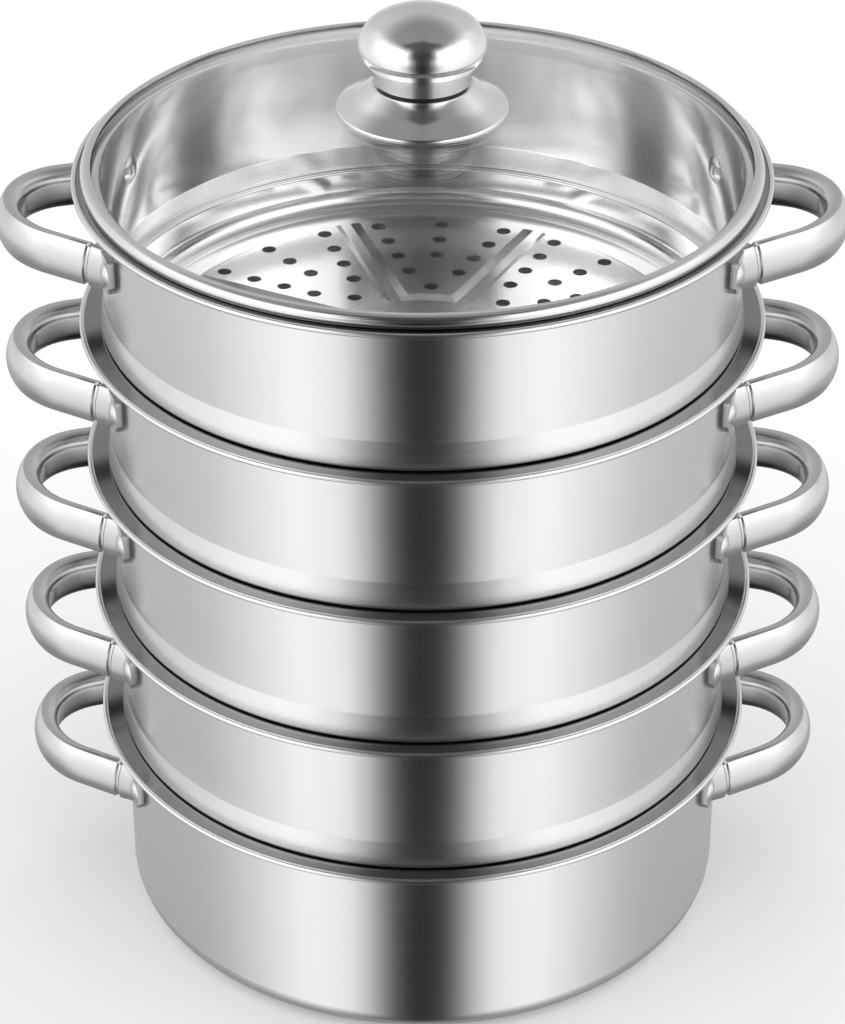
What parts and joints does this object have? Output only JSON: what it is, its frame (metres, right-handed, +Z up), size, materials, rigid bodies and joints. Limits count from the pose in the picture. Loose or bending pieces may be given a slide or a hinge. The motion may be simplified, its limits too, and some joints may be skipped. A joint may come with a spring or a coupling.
{
  "type": "steamer pot",
  "caption": "Tall stacking steamer: a deep round steel pot, perforated steaming tiers with loop handles, and a domed glass lid with a round knob.",
  "frame": {"origin": "middle of the pot's flat underside, on the surface that it stands on", "axes": "+Z up the stack, +X through the middle of the right-hand handles"},
  "size_m": [0.3728, 0.304, 0.4444],
  "materials": {
    "vessel_steel": "stainless sheet, fine brushing round the wall, rolled rim polished",
    "handle_steel": "stainless tube, satin polished",
    "foot_steel": "stainless, satin polished",
    "rivet_steel": "stainless rivets, polished domes",
    "band_steel": "rolled stainless band, polished",
    "knob_steel": "stainless, satin polished",
    "fastener_steel": "plain stainless",
    "lid_glass": "clear tempered glass",
    "spacer_black": "black moulded phenolic",
    "gasket_silicone": "grey silicone, matt"
  },
  "bodies": {
    "pot": {"pot_wall": "vessel_steel", "pot_rim": "vessel_steel", "pot_base": "vessel_steel", "pot_left_handle": "handle_steel", "pot_left_handle_feet": "foot_steel", "pot_left_handle_rivets": "rivet_steel", "pot_right_handle": "handle_steel", "pot_right_handle_feet": "foot_steel", "pot_right_handle_rivets": "rivet_steel"},
    "tier_1": {"tier_1_wall": "vessel_steel", "tier_1_rim": "vessel_steel", "tier_1_floor": "vessel_steel", "tier_1_left_handle": "handle_steel", "tier_1_left_handle_feet": "foot_steel", "tier_1_left_handle_rivets": "rivet_steel", "tier_1_right_handle": "handle_steel", "tier_1_right_handle_feet": "foot_steel", "tier_1_right_handle_rivets": "rivet_steel"},
    "tier_2": {"tier_2_wall": "vessel_steel", "tier_2_rim": "vessel_steel", "tier_2_floor": "vessel_steel", "tier_2_left_handle": "handle_steel", "tier_2_left_handle_feet": "foot_steel", "tier_2_left_handle_rivets": "rivet_steel", "tier_2_right_handle": "handle_steel", "tier_2_right_handle_feet": "foot_steel", "tier_2_right_handle_rivets": "rivet_steel"},
    "tier_3": {"tier_3_wall": "vessel_steel", "tier_3_rim": "vessel_steel", "tier_3_floor": "vessel_steel", "tier_3_left_handle": "handle_steel", "tier_3_left_handle_feet": "foot_steel", "tier_3_left_handle_rivets": "rivet_steel", "tier_3_right_handle": "handle_steel", "tier_3_right_handle_feet": "foot_steel", "tier_3_right_handle_rivets": "rivet_steel"},
    "tier_4": {"tier_4_wall": "vessel_steel", "tier_4_rim": "vessel_steel", "tier_4_floor": "vessel_steel", "tier_4_left_handle": "handle_steel", "tier_4_left_handle_feet": "foot_steel", "tier_4_left_handle_rivets": "rivet_steel", "tier_4_right_handle": "handle_steel", "tier_4_right_handle_feet": "foot_steel", "tier_4_right_handle_rivets": "rivet_steel"},
    "lid": {"lid_glass": "lid_glass", "lid_band": "band_steel", "knob_cap": "knob_steel", "knob_cup": "knob_steel", "knob_spacer": "spacer_black", "knob_skirt": "knob_steel", "knob_nut": "fastener_steel", "knob_screw": "fastener_steel", "knob_washer": "fastener_steel", "knob_gasket": "gasket_silicone"}
  },
  "joints": [
    {"name": "tier_1_lift", "type": "slide", "parent": "pot", "child": "tier_1", "axis": [0, 0, 1], "range_m": [0, 0.12]},
    {"name": "tier_2_lift", "type": "slide", "parent": "tier_1", "child": "tier_2", "axis": [0, 0, 1], "range_m": [0, 0.12]},
    {"name": "tier_3_lift", "type": "slide", "parent": "tier_2", "child": "tier_3", "axis": [0, 0, 1], "range_m": [0, 0.12]},
    {"name": "tier_4_lift", "type": "slide", "parent": "tier_3", "child": "tier_4", "axis": [0, 0, 1], "range_m": [0, 0.12]},
    {"name": "lid_lift", "type": "slide", "parent": "tier_4", "child": "lid", "axis": [0, 0, 1], "range_m": [0, 0.12]}
  ]
}
